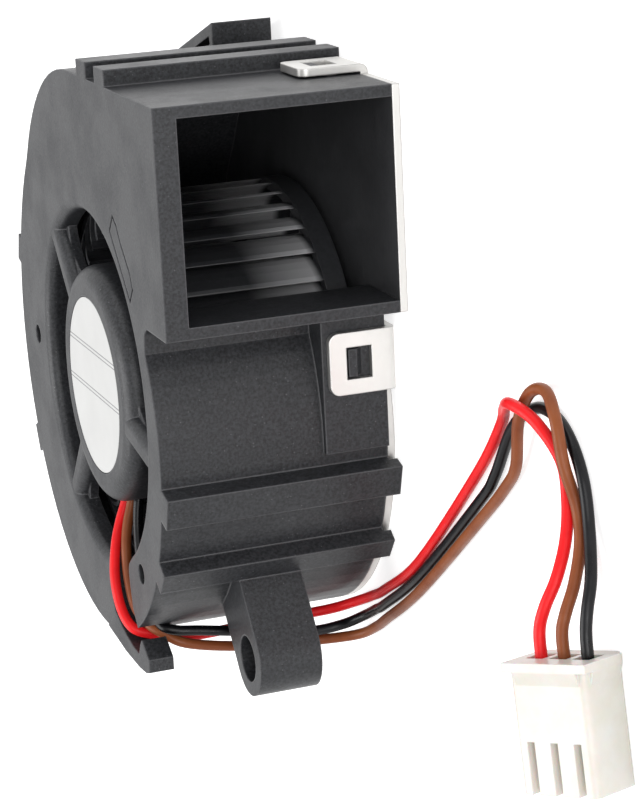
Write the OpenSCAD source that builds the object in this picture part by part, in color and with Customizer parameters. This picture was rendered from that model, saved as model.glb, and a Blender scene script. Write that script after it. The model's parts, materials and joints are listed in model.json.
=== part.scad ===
// DC blower fan, 60 x 60 x 25 mm class, lying on its back plate.
// Z is the impeller axis and z = 0 is the outer face of the back plate.
// The intake and the label face +Z, the outlet faces -Y, all sizes in millimetres.

/* [Housing] */
// Height from the back plate to the intake face
body_h = 25; // [22:0.5:32]
// Thickness of the intake face
face_t = 2.4; // [1.6:0.1:3]
// Thickness of the scroll and duct walls
wall_t = 1.2; // [0.9:0.1:1.6]
// Outer radius of the scroll at the tongue
scroll_start = 21.9; // [21.5:0.1:26]
// Growth of the scroll radius per degree
scroll_grow = 0.0563; // [0.045:0.0001:0.06]
// Easing of that growth per degree squared
scroll_ease = 0.0000821; // [0.00007:0.0000001:0.00009]
// X of the duct's outer wall
duct_out_x = 33.4; // [32:0.1:38]
// X of the duct's inner wall
duct_in_x = 10.8; // [9:0.1:12]
// Distance from the axis to the outlet
duct_len = 28.5; // [26:0.5:40]
// Radius of the corner that joins duct and scroll
corner_r = 23.1; // [20:0.1:24]

/* [Intake] */
// Radius of the intake opening
intake_r = 18.8; // [17.8:0.1:19.2]
// Rounding of the intake lip
lip_r = 1.1; // [0.4:0.1:1.4]
// Outer radius of the motor base
hub_r = 12.75; // [12.6:0.05:13.2]
// Rounding of the motor base shoulder
hub_round = 1.9; // [0.6:0.1:1.9]
// Width of a spoke at its waist
spoke_w = 3.2; // [2.6:0.1:5]
// Depth of a spoke along Z
spoke_h = 2.6; // [2:0.1:3]

/* [Back plate] */
// Thickness of the sheet
plate_t = 0.8; // [0.5:0.1:1]
// Height of the bent tabs above z = 0
tab_h = 7.2; // [6:0.1:9]
// Width of a tab
tab_w = 6.4; // [5.6:0.1:8]
// Width of the window in a tab
window_w = 3.3; // [2.6:0.1:3.6]
// Height of the window in a tab
window_h = 2.7; // [2:0.1:3]

/* [Mounting lugs] */
// Diameter of the screw holes
lug_hole_d = 4.8; // [3.6:0.1:5]
// Radius of the lug round its hole
lug_r = 3.9; // [3.7:0.1:4.4]
// Thickness of the lugs along Z
lug_t = 6.7; // [4:0.1:7.2]
// Height of the front lug's lower face
front_lug_z = 9.9; // [8:0.1:12]
// Height of the rear lug's lower face
rear_lug_z = 1.1; // [1:0.1:6]

/* [Impeller] */
// Outer radius of the blades
impeller_r = 20; // [19:0.1:20.2]
// Number of blades
blade_count = 37; // [25:2:41]
// Length of a blade along the radius
blade_chord = 4.0; // [3:0.1:4.2]
// Thickness of a blade
blade_t = 0.6; // [0.5:0.05:0.8]
// Height of the solid rim that carries the blades
rim_h = 2.2; // [1.5:0.1:3]
// Thickness of the impeller's disc
disc_t = 1.0; // [0.8:0.1:1.4]
// Free gap between the disc and the back plate
disc_gap = 1.1; // [0.8:0.1:2]

/* [Motor] */
// Diameter of the shaft
shaft_d = 3; // [2.8:0.1:3.1]
// Outer diameter of the ball bearings
bearing_d = 7; // [6.9:0.1:7.2]
// Width of the ball bearings
bearing_b = 3; // [2.5:0.1:3.2]
// Number of balls in each bearing
ball_count = 7; // [6:1:7]
// Diameter of the balls
ball_d = 1.2; // [1.1:0.05:1.25]
// Wall of the brass bearing sleeve
sleeve_wall = 0.9; // [0.6:0.1:1]
// Radius of the stator across its poles
stator_r = 9.4; // [8.8:0.1:9.5]
// Height of the lamination stack
stack_h = 5.6; // [4:0.1:6.4]
// Radial gap between stator and magnet
air_gap = 0.3; // [0.25:0.01:0.4]
// Wall of the magnet ring
magnet_wall = 1.2; // [0.9:0.1:1.2]
// Wall of the steel rotor cup
yoke_wall = 0.7; // [0.5:0.05:0.7]

/* [Leads and plug] */
// Outer diameter of a lead
lead_d = 1.1; // [0.9:0.05:1.1]
// Pitch of the plug's contacts
plug_pitch = 2.5; // [2.5:0.04:2.54]
// Length of the plug
plug_len = 11.5; // [10:0.1:13]
// Thickness of the plug
plug_t = 5.6; // [5:0.1:6.2]

/* [Hidden] */
$fn = 72;

eps = 0.01;
// Clearance between pieces that are seated on each other
seat_gap = 0.02;
// Clearance between the plate and what stands beside it
plate_gap = 0.1;
black = [0.13, 0.13, 0.14];

function polar(r, a) = [r * cos(a), r * sin(a)];
function arc(c, r, a0, a1, n) = [for (i = [0:n]) c + polar(r, a0 + (a1 - a0) * i / n)];

// ---- Scroll and duct outlines, shared by the housing and the back plate ----

tongue_a = -65;
scroll_sweep = 247;
corner_y = 2;
corner_sweep = 60;
nose_r = 1.6;

function scroll_r(s) = scroll_start + scroll_grow * s - scroll_ease * s * s;
function scroll_arc(inset, s0, s1, n) =
    [for (i = [0:n]) let (s = s0 + (s1 - s0) * i / n) polar(scroll_r(s) - inset, tongue_a - s)];

tongue_y = -scroll_start * sin(-tongue_a) - 0.95;
outer_outline = concat(
    [[duct_in_x, -duct_len], [duct_out_x, -duct_len]],
    arc([duct_out_x - corner_r, corner_y], corner_r, 0, corner_sweep, 12),
    scroll_arc(0, scroll_sweep, 4, 54),
    arc([duct_in_x - nose_r, tongue_y - nose_r], nose_r, 90, 0, 6));
cavity_outline = concat(
    [[duct_in_x + wall_t, -duct_len - 1], [duct_out_x - wall_t, -duct_len - 1]],
    arc([duct_out_x - corner_r, corner_y], corner_r - wall_t, 0, corner_sweep, 12),
    scroll_arc(wall_t, scroll_sweep, 0, 54),
    arc([duct_in_x + wall_t - nose_r, tongue_y + 0.3], nose_r, 90, 0, 6));

roof_z = body_h - face_t;

// A block on the scroll wall: its sides are along the radius at angle a
module wall_rib(a, half_w, height, z0, z1) {
    r0 = wall_radius(a) - wall_t / 2;
    translate([0, 0, z0]) linear_extrude(z1 - z0) rotate(a)
        translate([r0, -half_w]) square([wall_t / 2 + height, 2 * half_w]);
}
module wall_foot(a, half_w, height, z1) {
    r0 = wall_radius(a) + 0.35;
    linear_extrude(z1) rotate(a)
        translate([r0, -half_w]) square([wall_radius(a) + height - r0, 2 * half_w]);
}
function turn_of(a) = let (s = tongue_a - a) s < 0 ? s + 360 : s;
function wall_radius(a) = scroll_r(turn_of(a));

// ---- Mounting lugs ----

lug_span = 50;
front_hole = [-25, -22.1];
rear_hole = front_hole + [lug_span, lug_span];
front_lug_a = -141.7;
lug_core_w = 0.9;
lug_rib_t = 1.1;
rear_corner = [36.5, 5.4];

module front_lug() {
    translate([0, 0, front_lug_z]) linear_extrude(lug_t) difference() {
        union() {
            translate(front_hole) circle(lug_r);
            translate(front_hole) rotate(front_lug_a + 180)
                translate([0, -lug_r]) square([12, 2 * lug_r]);
        }
        circle(20);
    }
}

// The rear lug is a tangent arm from the duct to its boss, cored out behind its outer rib
rear_reach = rear_hole - rear_corner;
rear_far = norm(rear_reach);
rear_tangent_a = atan2(rear_reach[1], rear_reach[0]) - asin(lug_r / rear_far);
rear_touch = rear_hole + polar(lug_r, rear_tangent_a - 90);

module rear_lug() {
    inner = [duct_out_x - wall_t / 2, rear_corner[1]];
    translate([0, 0, rear_lug_z]) linear_extrude(lug_t) difference() {
        union() {
            translate(rear_hole) circle(lug_r);
            polygon([inner, rear_corner, rear_touch,
                rear_hole + polar(lug_r, rear_tangent_a + 90), polar(wall_radius(62) - 0.6, 62),
                polar(wall_radius(48) - 0.6, 48), [27, 16], [30, 11]]);
        }
        polygon([for (p = arc([duct_out_x - corner_r, corner_y], corner_r - wall_t / 2, 0,
            corner_sweep, 12)) p, polar(15, 50), [15, 0]]);
    }
}

module rear_lug_core() {
    side = polar(1, rear_tangent_a);
    back = polar(1, rear_tangent_a + 90);
    start = rear_corner + side * 1.6 + back * lug_rib_t;
    end = rear_touch - side * 2.5 + back * lug_rib_t;
    translate([0, 0, rear_lug_z + 1.2]) linear_extrude(lug_t)
        polygon([start, end, end + back * lug_core_w, start + back * lug_core_w]);
}

// ---- Clips: a window in a bent tab snaps over a wedge on the housing ----

window_z = 2.7;
bend_r = 0.8;
tab_round = 1;

// Each clip: place of the tab's outer face, direction it faces, standoff from the wall
front_tab_y = -25;
front_tab_x = 5.35;
top_tab_x = duct_out_x + 1;
top_tab_y = -17;
back_tab_a = 93;
side_tab_a = 168;
tab_standoff = 1.05;

CLIPS = [
    [[front_tab_x, front_tab_y], -90],
    [[top_tab_x, top_tab_y], 0],
    [polar(wall_radius(back_tab_a) + tab_standoff, back_tab_a), back_tab_a],
    [polar(wall_radius(side_tab_a) + tab_standoff, side_tab_a), side_tab_a]];

module at_clip(c) translate(c[0]) rotate(c[1]) children();

// The tab stands on the plate's edge; its outer face is at local x = 0
module tab() {
    difference() {
        translate([-plate_t, 0, 0]) rotate([90, 0, 90]) linear_extrude(plate_t) difference() {
            union() {
                translate([-tab_w / 2, 0]) square([tab_w, tab_h - tab_round]);
                translate([-tab_w / 2 + tab_round, 0]) square([tab_w - 2 * tab_round, tab_h]);
                for (k = [-1, 1]) translate([k * (tab_w / 2 - tab_round), tab_h - tab_round])
                    circle(tab_round);
            }
            translate([-window_w / 2, window_z]) square([window_w, window_h]);
        }
        // Rounded outside of the bend
        rotate([90, 0, 0]) linear_extrude(tab_w + 2, center = true)
            difference() {
                translate([-bend_r, -1]) square([bend_r + 1, bend_r + 1]);
                translate([-bend_r, bend_r]) circle(bend_r);
            }
    }
    translate([-4, -tab_w / 2, 0]) cube([4 - bend_r, tab_w, plate_t]);
}

// The wedge fills most of the window and slopes towards the plate
module latch() {
    gap = 0.25;
    translate([0, window_w / 2 - gap, 0]) rotate([90, 0, 0]) linear_extrude(window_w - 2 * gap)
        polygon([[-plate_t - 0.6, window_z + gap], [-0.1, window_z + window_h - 1.1],
            [-0.1, window_z + window_h - gap], [-plate_t - 0.6, window_z + window_h - gap]]);
}

// ---- Wire slot in the intake face, the arm and its hook ----

slot_outline = [
    [-14.5, -10.4], [-16.6, -9.7], [-17.4, -9.2], [-18.3, -9], [-19.8, -9.2],
    [-22.2, -9.7], [-23.9, -11.1], [-24.3, -12.6], [-24.9, -12.1], [-25.6, -11.5],
    [-26.9, -10.8], [-26.8, -8.5], [-26.4, -6.5], [-25.9, -4.6], [-24.8, -2.2], [-22.6, -1.3],
    [-20.1, -1.8], [-18, -2.9], [-14.5, -4]];
arm_outline = [
    [-24.8, -2.2], [-25.9, -4.6], [-26.4, -6.5], [-26.8, -8.5], [-26.9, -10.8], [-28.4, -10.8],
    [-28.4, -9.8], [-28.3, -5.5], [-27.9, -2], [-27.6, 1], [-26, 1]];
post_outline = [[-26.9, -10.8], [-25.6, -11.5], [-24.9, -12.1], [-26.4, -14.4], [-27.8, -14.4],
    [-28.2, -13.2], [-28.4, -10.8]];
post_drop = 0.3;
wire_notch = 1.3;

// ---- Housing details ----

// Engraved arrow beside the intake, pointing the way that the impeller turns
ARROW = [[20.4, -12.2], [18.7, -10.8], [12.5, -16.7], [14, -17.9], [15.6, -17.1],
    [18.1, -14.5], [19.6, -13.4]];
arrow_line = 0.35;
arrow_depth = 0.3;
module arrow() {
    translate([0, 0, body_h - arrow_depth]) linear_extrude(1) for (i = [0:len(ARROW) - 1]) {
        start = ARROW[i];
        step = ARROW[(i + 1) % len(ARROW)] - start;
        translate(start) rotate(atan2(step[1], step[0])) translate([-arrow_line / 2, -arrow_line / 2])
            square([norm(step) + arrow_line, arrow_line]);
    }
}

RAIL_YS = [-5.5, -12.3];
rail_w = 3.4;
rail_h = 1.7;
// Ribs on the scroll by the outlet, then two low ones on the far side
RIBS = [[-107, 1.7, 1.9], [-126.5, 1.4, 1.7]];
FAR_RIBS = [72, 115];
far_rib_h = 1.1;
far_rib_w = 1.6;
pad_h = 7.7;
pad_y = front_tab_y + plate_t + 0.05;
pad_x0 = -4;
vent_hole_r = 1.1;
VENT_HOLES = [[-17, -13.9], [0.6, 23.4]];
SPOKES = [43, 140, -100];
skirt_depth = 4.2;
skirt_t = 1.0;
base_t = 2.0;
label_r = 9.45;
label_t = 0.15;
label_recess = 0.2;
sleeve_r = bearing_d / 2 + sleeve_wall;
boss_wall = 0.8;
boss_depth = 0.6;
exit_notch_w = 4.2;
exit_notch_a = -173;

spoke_mid = (hub_r + intake_r) / 2;
spoke_half = (intake_r - hub_r) / 2 + 0.9;
flare = 1.7;
function spoke_edge(k) = [for (i = [-8:8]) let (t = i / 8)
    [spoke_mid + t * spoke_half, k * (spoke_w / 2 + flare * abs(t) * t * t)]];

// A rounded bar between the motor base and the face, on a web that flares at both ends
spoke_round = 1.2;
web_drop = 1.3;
web_lift = 0.3;
spoke_sink = 0.06;
module spoke() {
    low = spoke_edge(-1);
    high = spoke_edge(1);
    translate([0, 0, body_h - spoke_h + web_lift])
        linear_extrude(spoke_h - web_drop - web_lift) polygon(concat(low, [for (i = [len(high) - 1:-1:0]) high[i]]));
    r0 = hub_r - hub_round - 0.5;
    translate([r0, 0, body_h - spoke_h / 2 - spoke_sink]) rotate([90, 0, 90])
        linear_extrude(intake_r + lip_r + 0.3 - r0) {
            square([spoke_w - 2 * spoke_round, spoke_h], center = true);
            square([spoke_w, spoke_h - 2 * spoke_round], center = true);
            for (x = [-1, 1]) for (y = [-1, 1])
                translate([x * (spoke_w / 2 - spoke_round), y * (spoke_h / 2 - spoke_round)])
                    circle(spoke_round, $fn = 40);
        }
}

module intake_cut() {
    rotate_extrude($fn = 144) polygon(concat(
        [[0, roof_z - 6], [intake_r, roof_z - 6]],
        arc([intake_r + lip_r, body_h - lip_r], lip_r, 180, 90, 6),
        [[intake_r + lip_r, body_h + 1], [0, body_h + 1]]));
}

module hub() {
    top_r = hub_r - hub_round;
    rotate_extrude($fn = 120) difference() {
        union() {
            translate([0, body_h - base_t]) square([top_r, base_t]);
            translate([hub_r - skirt_t, body_h - skirt_depth])
                square([skirt_t, skirt_depth - hub_round]);
            translate([0, body_h - base_t]) square([hub_r, base_t - hub_round + eps]);
            intersection() {
                translate([top_r, body_h - hub_round]) circle(hub_round);
                translate([top_r - eps, body_h - hub_round]) square(hub_round + eps);
            }
            translate([sleeve_r + seat_gap, body_h - base_t - boss_depth])
                square([boss_wall, boss_depth + eps]);
        }
        translate([0, body_h - label_recess]) square([label_r + 0.1, 1]);
    }
}

module scroll_body() {
    wall_z = plate_t + plate_gap / 5;
    translate([0, 0, wall_z]) linear_extrude(body_h - wall_z) polygon(outer_outline);
    for (y = RAIL_YS) {
        translate([duct_out_x - wall_t / 2, y, wall_z])
            cube([wall_t / 2 + rail_h, rail_w, body_h - wall_z]);
        // The rail's foot hangs past the wall, beside the plate's edge
        translate([duct_out_x + plate_gap, y, 0]) cube([rail_h - plate_gap, rail_w, body_h]);
    }
    for (r = RIBS) {
        wall_rib(r[0], r[1], r[2], wall_z, body_h);
        wall_foot(r[0], r[1], r[2], body_h);
    }
    for (a = FAR_RIBS) wall_rib(a, far_rib_w, far_rib_h, plate_t + plate_gap, body_h);
    for (a = [back_tab_a, side_tab_a]) wall_rib(a, tab_w / 2 + 1,
        tab_standoff - plate_t - 0.05, plate_t + plate_gap, pad_h);
    front_pad();
    front_lug();
    rear_lug();
    translate([0, 0, roof_z]) linear_extrude(face_t) polygon(arm_outline);
    translate([0, 0, roof_z - post_drop]) linear_extrude(face_t + post_drop)
        polygon(post_outline);
}

module housing() {
    color(black) difference() {
        union() {
            difference() {
                scroll_body();
                translate([0, 0, -1]) linear_extrude(roof_z + 1) polygon(cavity_outline);
                intake_cut();
            }
            hub();
            for (a = SPOKES) rotate(a) spoke();
            for (c = CLIPS) at_clip(c) latch();
        }
        rear_lug_core();
        arrow();
        for (h = [front_hole, rear_hole]) translate([h[0], h[1], 0])
            cylinder(d = lug_hole_d, h = body_h);
        for (p = VENT_HOLES) translate([p[0], p[1], roof_z - 1]) cylinder(r = vent_hole_r, h = 9);
        translate([0, 0, roof_z - wire_notch]) linear_extrude(face_t + wire_notch + 1)
            polygon(slot_outline);
        rotate(exit_notch_a) translate([hub_r - skirt_t - 1.5, -exit_notch_w / 2,
            body_h - skirt_depth - 1]) cube([3, exit_notch_w, skirt_depth - base_t + 1]);
        translate([0, 0, plate_t - 5]) linear_extrude(5) polygon(plate_pocket);
    }
}

// Room under the wall for the plate's flange at the front clip
plate_pocket = [[front_tab_x - tab_w / 2 - 0.2, front_tab_y - 1],
    [front_tab_x + tab_w / 2 + 0.2, front_tab_y - 1],
    [front_tab_x + tab_w / 2 + 0.2, -18], [front_tab_x - tab_w / 2 - 0.2, -18]];

module front_pad() {
    back_y = -20;
    translate([pad_x0, pad_y, plate_t + plate_gap])
        cube([duct_in_x + wall_t / 2 - pad_x0, back_y - pad_y, pad_h - plate_t - plate_gap]);
}

module back_plate() {
    color("silver") {
        linear_extrude(plate_t) polygon(outer_outline);
        for (c = CLIPS) at_clip(c) tab();
    }
}

module label() {
    color("white") translate([0, 0, body_h - label_recess + 0.005])
        cylinder(r = label_r, h = label_t, $fn = 120);
}

// ---- Rotor and bearings ----

disc_z = plate_t + disc_gap;
cup_floor_z = disc_z + disc_t;
yoke_z = cup_floor_z + seat_gap;
blade_top = roof_z - 1.2;
sleeve_top = body_h - base_t - seat_gap;
shaft_head = 1.5;
upper_bearing_z = sleeve_top - shaft_head - bearing_b;
bushing_h = 1.1;
spring_room = 2.2;
lower_bearing_z = yoke_z + yoke_wall + bushing_h + spring_room;
sleeve_bottom = lower_bearing_z;
cup_top = body_h - skirt_depth - 0.8;
yoke_top = cup_top;
magnet_in = stator_r + air_gap;
yoke_in = magnet_in + magnet_wall + seat_gap;
yoke_out = yoke_in + yoke_wall;
cup_out = hub_r - 0.15;
stack_z = 10.2;
magnet_z = yoke_z + yoke_wall + 2.6;
magnet_top = yoke_top - 0.6;
board_z = body_h - skirt_depth + 0.5;
board_t = 1.0;

module bearing_sleeve() {
    color("goldenrod") difference() {
        translate([0, 0, sleeve_bottom]) cylinder(r = sleeve_r, h = sleeve_top - sleeve_bottom);
        translate([0, 0, sleeve_bottom - 1])
            cylinder(d = bearing_d + 2 * seat_gap, h = bearing_b + 1 + seat_gap);
        translate([0, 0, upper_bearing_z - seat_gap])
            cylinder(d = bearing_d + 2 * seat_gap, h = 20);
        cylinder(r = bearing_d / 2 - 0.7, h = 40);
    }
}

ring_wall = 0.62;
race_r = (shaft_d / 2 + bearing_d / 2) / 2;
race_gap = 0.03;
groove_r = ball_d / 2 + race_gap;

module groove() {
    rotate_extrude() translate([race_r, bearing_b / 2]) circle(groove_r, $fn = 40);
}

module outer_ring() {
    difference() {
        cylinder(d = bearing_d, h = bearing_b);
        translate([0, 0, -1]) cylinder(r = bearing_d / 2 - ring_wall, h = bearing_b + 2);
        groove();
    }
}

module inner_ring() {
    difference() {
        cylinder(r = shaft_d / 2 + ring_wall, h = bearing_b);
        translate([0, 0, -1]) cylinder(r = shaft_d / 2 + seat_gap, h = bearing_b + 2);
        groove();
    }
}

// The balls sit in a ribbon cage that keeps them apart
module ball_set() {
    cage_w = 0.3;
    translate([0, 0, bearing_b / 2]) {
        for (i = [0:ball_count - 1]) rotate(i * 360 / ball_count)
            translate([race_r, 0, 0]) sphere(d = ball_d, $fn = 32);
        difference() {
            translate([0, 0, -0.25]) cylinder(r = race_r + cage_w / 2, h = 0.5);
            translate([0, 0, -1]) cylinder(r = race_r - cage_w / 2, h = 2);
        }
    }
}

module upper_outer_ring() color("silver") translate([0, 0, upper_bearing_z]) outer_ring();
module upper_inner_ring() color("silver") translate([0, 0, upper_bearing_z]) inner_ring();
module upper_ball_set() color("gainsboro") translate([0, 0, upper_bearing_z]) ball_set();
module lower_outer_ring() color("silver") translate([0, 0, lower_bearing_z]) outer_ring();
module lower_inner_ring() color("silver") translate([0, 0, lower_bearing_z]) inner_ring();
module lower_ball_set() color("gainsboro") translate([0, 0, lower_bearing_z]) ball_set();

shield_t = 0.15;
module bearing_shields() {
    color("lightgray") for (z = [upper_bearing_z, lower_bearing_z])
        for (dz = [0.1, bearing_b - 0.1 - shield_t]) translate([0, 0, z + dz]) difference() {
            cylinder(r = bearing_d / 2 - ring_wall - seat_gap, h = shield_t);
            translate([0, 0, -1]) cylinder(r = shaft_d / 2 + ring_wall + 0.1, h = 2);
        }
}

// A closed tube swept through points; each ring has "sides" corners
function unit(v) = v / norm(v);
function tangent(p, i) = unit(p[min(i + 1, len(p) - 1)] - p[max(i - 1, 0)]);
function side_of(t, u) = unit(u - t * (u * t));
function sides_along(p, i, u) = i >= len(p) ? [] :
    let (s = side_of(tangent(p, i), u)) concat([s], sides_along(p, i + 1, s));
module tube(p, r, sides = 8) {
    first = cross(tangent(p, 0), abs(tangent(p, 0)[2]) < 0.9 ? [0, 0, 1] : [1, 0, 0]);
    us = sides_along(p, 0, unit(first));
    points = [for (i = [0:len(p) - 1]) let (t = tangent(p, i), u = us[i], v = cross(t, u))
        for (k = [0:sides - 1]) p[i] + r * (cos(k * 360 / sides) * u + sin(k * 360 / sides) * v)];
    last = (len(p) - 1) * sides;
    faces = concat(
        [[for (k = [sides - 1:-1:0]) k]],
        [[for (k = [0:sides - 1]) last + k]],
        [for (i = [0:len(p) - 2]) for (k = [0:sides - 1]) let (a = i * sides + k,
            b = i * sides + (k + 1) % sides) each [[a, b, b + sides], [a, b + sides, a + sides]]]);
    polyhedron(points, [for (f = faces) [for (k = [len(f) - 1:-1:0]) f[k]]]);
}

// The spring stands on the bushing and pushes the lower inner ring up
spring_wire = 0.35;
spring_turns = 2.5;
module preload_spring() {
    r = shaft_d / 2 + 0.4;
    steps = spring_turns * 14;
    z0 = lower_bearing_z - spring_room + spring_wire / 2 + 2 * seat_gap;
    rise = spring_room - spring_wire - 4 * seat_gap;
    color("lightsteelblue") tube([for (i = [0:steps])
        [r * cos(i * 360 / 14), r * sin(i * 360 / 14), z0 + rise * i / steps]],
        spring_wire / 2, 6);
}

shaft_bottom = yoke_z - 0.4;
groove_z = upper_bearing_z + bearing_b + 0.3;
clip_t = 0.3;
module shaft() {
    color("lightgray") difference() {
        translate([0, 0, shaft_bottom])
            cylinder(d = shaft_d, h = groove_z + clip_t + 0.35 - shaft_bottom);
        translate([0, 0, groove_z - seat_gap]) difference() {
            cylinder(d = shaft_d + 1, h = clip_t + 2 * seat_gap);
            translate([0, 0, -1]) cylinder(r = shaft_d / 2 - 0.3, h = 3);
        }
    }
}

module retaining_ring() {
    color("dimgray") translate([0, 0, groove_z]) linear_extrude(clip_t) difference() {
        circle(shaft_d / 2 + 0.75);
        circle(shaft_d / 2 - 0.3 + seat_gap);
        translate([0, -0.6]) square([5, 1.2]);
    }
}

module wear_washer() {
    color("ivory") translate([0, 0, upper_bearing_z + bearing_b + 0.04]) difference() {
        cylinder(r = shaft_d / 2 + 0.6, h = 0.2);
        translate([0, 0, -1]) cylinder(r = shaft_d / 2 + 0.05, h = 2);
    }
}

bushing_r = 3.4;
bushing_neck_r = 2.2;
module shaft_bushing() {
    color("goldenrod") difference() {
        union() {
            translate([0, 0, yoke_z]) cylinder(r = bushing_neck_r, h = yoke_wall + 2 * seat_gap);
            translate([0, 0, yoke_z + yoke_wall + seat_gap])
                cylinder(r = bushing_r, h = bushing_h - seat_gap);
        }
        cylinder(r = shaft_d / 2 + seat_gap, h = 30);
    }
}

module rotor_yoke() {
    color("slategray") difference() {
        translate([0, 0, yoke_z]) cylinder(r = yoke_out, h = yoke_top - yoke_z, $fn = 120);
        translate([0, 0, yoke_z + yoke_wall]) cylinder(r = yoke_in, h = 40, $fn = 120);
        cylinder(r = bushing_neck_r + seat_gap, h = 40);
    }
}

module rotor_magnet() {
    color([0.2, 0.2, 0.22]) difference() {
        translate([0, 0, magnet_z]) cylinder(r = yoke_in - seat_gap, h = magnet_top - magnet_z,
            $fn = 120);
        cylinder(r = magnet_in, h = 40, $fn = 120);
    }
}

// Forward-curved blade: a crescent between two arcs, leading its root in the turn
blade_in = impeller_r - blade_chord;
blade_bend = 38;
blade_lean = 24;
function blade_line(off) = [for (i = [0:8]) let (t = i / 8,
    r = blade_in + (blade_chord - 0.15) * t,
    a = -blade_lean * t * t * 0.55 - blade_bend * (t - 1) * t * 0.18 + off / r * 57.3) polar(r, a)];
module blade() {
    front = blade_line(blade_t / 2);
    back = blade_line(-blade_t / 2);
    polygon(concat(front, [for (i = [len(back) - 1:-1:0]) back[i]]));
}

ring_h = 1.0;
ring_t = 0.8;
module impeller() {
    color(black) difference() {
        union() {
            translate([0, 0, disc_z]) cylinder(r = impeller_r, h = disc_t, $fn = 144);
            translate([0, 0, disc_z]) difference() {
                cylinder(r = impeller_r, h = rim_h, $fn = 144);
                translate([0, 0, -1]) cylinder(r = impeller_r - 1.2, h = 9, $fn = 144);
            }
            translate([0, 0, disc_z]) cylinder(r = cup_out, h = cup_top - disc_z, $fn = 120);
            translate([0, 0, disc_z + disc_t / 2]) linear_extrude(blade_top - disc_z - disc_t / 2)
                for (i = [0:blade_count - 1]) rotate(i * 360 / blade_count) blade();
            translate([0, 0, blade_top - ring_h]) difference() {
                cylinder(r = impeller_r, h = ring_h, $fn = 144);
                translate([0, 0, -1]) cylinder(r = impeller_r - ring_t, h = 9, $fn = 144);
            }
        }
        translate([0, 0, cup_floor_z]) cylinder(r = yoke_out + seat_gap, h = 40, $fn = 120);
        translate([0, 0, disc_z - 1]) cylinder(r = shaft_d / 2 + 0.3, h = 9);
    }
}

// ---- Stator and electronics ----

pole_w = 2.6;
pole_face_h = 1.3;
insulator_t = 0.9;
core_in = sleeve_r + seat_gap;
core_yoke_r = sleeve_r + 1.5;
collar_r = core_in + 1.2;

module pole_shape(r_tip, w, yoke_r) {
    circle(yoke_r);
    for (i = [0:3]) rotate(45 + 90 * i) translate([0, -w / 2]) square([r_tip, w]);
}

module stator_core() {
    color("gray") translate([0, 0, stack_z]) linear_extrude(stack_h) difference() {
        intersection() {
            circle(stator_r);
            union() {
                pole_shape(stator_r + 1, pole_w, core_yoke_r);
                difference() {
                    circle(stator_r);
                    circle(stator_r - pole_face_h);
                    for (i = [0:3]) rotate(90 * i) translate([0, -1]) square([20, 2]);
                }
            }
        }
        circle(core_in);
    }
}

module insulator(z) {
    translate([0, 0, z]) linear_extrude(insulator_t) difference() {
        intersection() {
            circle(stator_r - 0.3);
            union() {
                pole_shape(stator_r, pole_w + 0.6, core_yoke_r + 0.3);
                difference() {
                    circle(stator_r);
                    circle(stator_r - pole_face_h);
                    for (i = [0:3]) rotate(90 * i) translate([0, -1.4]) square([20, 2.8]);
                }
            }
        }
        circle(core_in);
    }
}

module upper_insulator() {
    color("ivory") {
        insulator(stack_z + stack_h + seat_gap);
        // Collar that carries the circuit board
        translate([0, 0, stack_z + stack_h + seat_gap]) difference() {
            cylinder(r = collar_r, h = board_z - stack_z - stack_h - 2 * seat_gap);
            translate([0, 0, -1]) cylinder(r = core_in, h = 20);
        }
    }
}

module lower_insulator() color("ivory") insulator(stack_z - insulator_t - seat_gap);

coil_wall = 1.25;
module coil() {
    tall = stack_h + 2 * insulator_t + 4 * seat_gap + 0.1;
    wide = pole_w + 0.7;
    over = 0.9;
    round_r = 0.8;
    start_r = core_yoke_r + 0.4;
    end_r = sqrt(pow(stator_r - pole_face_h, 2) - pow(wide / 2 + coil_wall, 2)) - 0.1;
    translate([start_r, 0, stack_z + stack_h / 2]) rotate([0, 90, 0])
        linear_extrude(end_r - start_r) difference() {
            union() {
                square([tall + 2 * over, wide + 2 * (coil_wall - round_r)], center = true);
                square([tall + 2 * (over - round_r), wide + 2 * coil_wall], center = true);
                for (x = [-1, 1]) for (y = [-1, 1])
                    translate([x * (tall / 2 + over - round_r), y * (wide / 2 + coil_wall - round_r)])
                        circle(round_r);
            }
            square([tall, wide], center = true);
        }
}
module stator_coils() color([0.72, 0.42, 0.2]) for (i = [0:3]) rotate(45 + 90 * i) coil();

pin_r = 0.3;
pin_circle = stator_r - 0.9;
PIN_ANGLES = [27, 117, 207, 297];
module coil_pins() {
    z0 = stack_z + stack_h + insulator_t + 2 * seat_gap;
    color("silver") for (a = PIN_ANGLES) rotate(a) translate([pin_circle, 0, z0])
        cylinder(r = pin_r, h = board_z + board_t + 0.3 - z0, $fn = 24);
}

board_r = hub_r - skirt_t - 0.3;
module circuit_board() {
    color("darkgreen") translate([0, 0, board_z]) linear_extrude(board_t) difference() {
        circle(board_r);
        circle(sleeve_r + seat_gap + 0.05);
        for (a = PIN_ANGLES) rotate(a) translate([pin_circle, 0]) circle(pin_r + 0.05, $fn = 24);
    }
}

// Sizes of the chip and the small parts under the board, and their distance from the collar
chip = [2.9, 3, 0.9];
long_part = [3, 1.5, 0.6];
short_part = [2, 1.2, 0.5];
part_gap = 0.5;
module drive_chip() {
    color([0.1, 0.1, 0.1]) translate([collar_r + part_gap, -chip[1] / 2, board_z - chip[2] - seat_gap])
        cube(chip);
}

module board_parts() {
    color("tan") {
        translate([-long_part[0] / 2, collar_r + part_gap, board_z - long_part[2] - seat_gap])
            cube(long_part);
        for (a = [180, 280]) rotate(a) translate([collar_r + part_gap + short_part[1] / 2, 0,
            board_z - short_part[2] / 2 - seat_gap])
            cube([short_part[1], short_part[0], short_part[2]], center = true);
    }
}

// ---- Leads: route points, chosen by hand, from the motor base to the plug ----

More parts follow.
